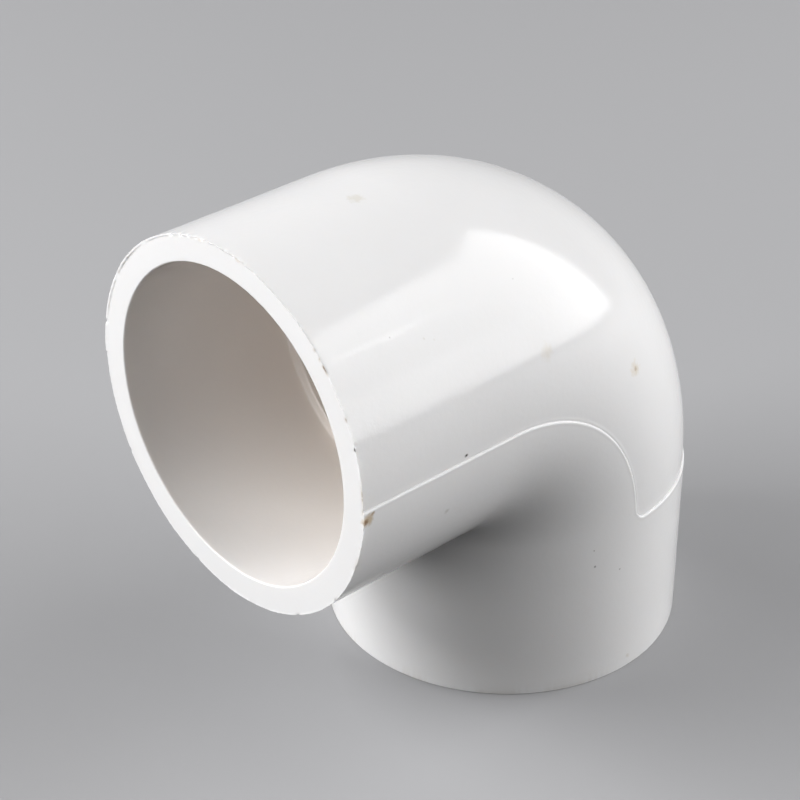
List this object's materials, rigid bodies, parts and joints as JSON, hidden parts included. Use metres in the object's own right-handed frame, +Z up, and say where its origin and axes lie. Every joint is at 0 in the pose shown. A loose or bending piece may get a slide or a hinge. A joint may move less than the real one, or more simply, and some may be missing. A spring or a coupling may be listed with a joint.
{
  "type": "pipe elbow",
  "caption": "Plain white PVC pressure-pipe elbow: two equal solvent-weld sockets at a right angle, joined by a passage that turns the corner.",
  "frame": {"origin": "centre of the lower socket's mouth, in the plane of its rim", "axes": "+Z up along the lower socket's axis, which opens at z = 0 and faces -Z; the front socket's axis is parallel to Y at z = 0.0567 m and opens at y = -0.0573 m, facing -Y; X is square to both sockets"},
  "size_m": [0.0593, 0.0868, 0.0862],
  "materials": {
    "pvc_white": "as moulded: smooth and glossy, with a fine parting line"
  },
  "bodies": {
    "root": {"elbow_body": "pvc_white"}
  },
  "joints": []
}
